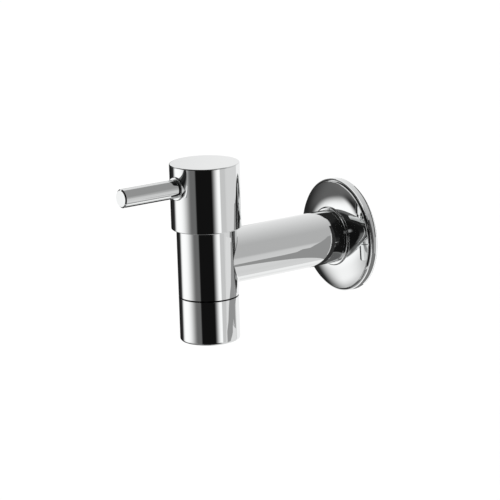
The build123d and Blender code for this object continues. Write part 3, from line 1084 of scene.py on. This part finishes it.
def strip(left: float, right: float) -> tuple[Triple, ...]:
    """Return the corners of a strip just under the lever, which faces up.

    Args:
        left: The left edge's place across the tap, in millimetres.
        right: The right edge's place.

    Returns:
        The corners in order.
    """
    front, back = STRIP_ENDS
    sides = ((left, front), (right, front), (right, back), (left, back))
    return tuple((across, along, STRIP_HEIGHT) for across, along in sides)


DOME_LIDS = ((0.6, 26.5, 6.0), (-0.4, -9.0, 4.0))

STUDIO_CARDS = (
    # pale walls at the back left and the back right
    Card((-190, -120), (-90, 12), 0.91, (2, 4), (3, 10)),
    Card((107, 190), (-90, -3), 0.68, (2, 2), (3, 6)),
    Card((102, 126), (-24, -3), 0.58, (2, 8), (6, 5)),
    # dark room and grey floor in front
    Card((-105, 97), (-90, 90), 0.02, (6, 6)),
    Card((-150, 150), (-90, -48), 0.62, (12, 12), (8, 8)),
    Card((-150, 100), (-90, -56), 0.12, (12, 8), (5, 5)),
    # dark and pale bands on the left
    Card((-116, -62), (-60, 12), 0.020, (4, 4), (6, 6)),
    Card((-124, -112), (-30, 10), 0.32, (1, 11), (4, 4)),
    Card((-104, -91), (-30, 10), 0.005, (3, 4), (4, 4)),
    Card((-68, -36), (-8, 16), 0.12, (14, 6), (4, 4)),
    Card((-90, -50), (24, 38), 0.90, (6, 5), (4, 4)),
    Card((-40, 24), (-42, -4), 0.14, (12, 4), (8, 4)),
    # bright windows of the flange's dome
    Card((-64, -19), (-38, 8), 0.96, (14, 28), (9, 4), DOME_LIDS),
    Card((-60, -19), (-19, 8), 1.06, (14, 28), (4, 4), DOME_LIDS),
    # dark right side with one narrow light
    Card((14, 103), (4, 66), 0.008, (4, 4), (6, 6)),
    Card((25, 77), (-42, 50), 0.006, (2, 2), (6, 6)),
    Card((18, 104), (-57, -26), 0.008, (8, 4), (3, 4)),
    Card((88, 105.5), (-17.5, -10.5), 1.03, (12.5, 1.5), (1, 1)),
    # soft lights that the cap's top mirrors when seen from behind
    Card((-58, -14), (11, 34), 0.14, (6, 6), (4, 4)),
    Card((38, 52), (11, 19), 0.28, (4, 4), (3, 3)),
)

STUDIO_FLAGS = (
    # painted shadow: grey card shaped like the tap's shadow on a wall beside the flange, which the chrome
    # mirrors
    Flag("wall_shadow_flag", 0.29, upright(
        1.0, (24.5, 13), (27.2, 5), (27.5, -3), (25.6, -10.6), (21.2, -17.9), (15, -23.3), (7, -26.8),
        (-3, -27.6), (-10, -30), (14, -37), (26, -41), (50, -46.5), (62, -53), (150, -80), (150, -70),
        (100, -42), (73, -29.5), (62, -22.5), (54, -10), (38, 11),
    )),
    # rings against the flange's rim, nearest first
    Flag("rim_flag_white", 1.02, arc(-0.12, (27.02, 27.85), (-55.0, 0.0), -0.4)),
    Flag("rim_flag_bright", 1.02, arc(-0.12, (27.02, 27.05), (0.0, 42.0), 0.8)),
    Flag("rim_flag_line", 0.09, arc(-0.09, (27.02, 27.35), (6.0, 68.0), 1.25)),
    Flag("rim_flag_light", 0.38, arc(-0.06, (27.02, 30.4), (-12.0, 32.0), -1.0)),
    Flag("rim_flag_low", 0.19, arc(-0.03, (27.02, 33.0), (-95.0, -12.0))),
    Flag("rim_flag_mid", 0.12, arc(-0.03, (27.02, 33.0), (-12.0, 0.0))),
    Flag("rim_flag_dark", 0.07, arc(-0.03, (27.02, 33.0), (0.0, 26.0))),
    # dark ring with a pale edge, level with the rim's front, which only the arm mirrors
    Flag("ring_flag", 0.03, arc(-4.5, (25.6, 27.6), (-140.0, 50.0), 3.4)),
    Flag("ring_flag_edge", 0.65, arc(-4.4, (25.6, 28.9), (-50.0, 25.0), 1.3)),
    # curved band and pale ground that the column and the nozzle mirror on the right
    Flag("column_flag", 0.30, upright(
        -72.75, (14.2, 10), (13.6, 10), (13.6, -9), (12, -12), (12, -31), (13, -31), (13.9, -26.5),
        (14.5, -29.5), (14.7, -33), (15.4, -34.8), (17, -37.4), (18.5, -41), (24, -41), (22, -37.5),
        (20.3, -33), (19.3, -28.2), (17.9, -21), (16.3, -15.6), (15.1, -10.7), (14.5, -1),
    )),
    Flag("column_card", 0.74, upright(
        -72.7, (13.8, 12), (13.8, -9), (12.5, -12), (12.5, -42), (26, -42), (22, -22), (20, -10), (19, 12),
    )),
    # strips that the underside of the lever mirrors
    Flag("lever_strip_dark", 0.02, strip(0.6, 2.6)),
    Flag("lever_strip_pale", 0.62, strip(2.6, 3.6)),
    Flag("lever_strip_white", 1.0, strip(3.6, 4.7)),
    Flag("lever_strip_grey", 0.32, strip(4.7, 6.0)),
    # tall grey card behind the cap
    Flag("right_flag", 0.43, arc(-40.0, (60.0, 140.0), (0.0, 115.0), height=36.4), (45.0, 90.0, 0.30)),
)


def main() -> None:
    """Build the camera, the studio and the looks of each part of the tap."""
    logging.basicConfig(level=logging.INFO)
    bpy.context.scene.view_settings.view_transform = "Standard"
    Photographer().build()
    Studio(STUDIO_CARDS, STUDIO_FLAGS).build()
    finishes = Finishes()
    for part in (Plating(), Inlet(), Valve(), Aerator()):
        log.info("building %s", type(part).__name__)
        part.build(finishes)


if __name__ == "__main__":
    main()
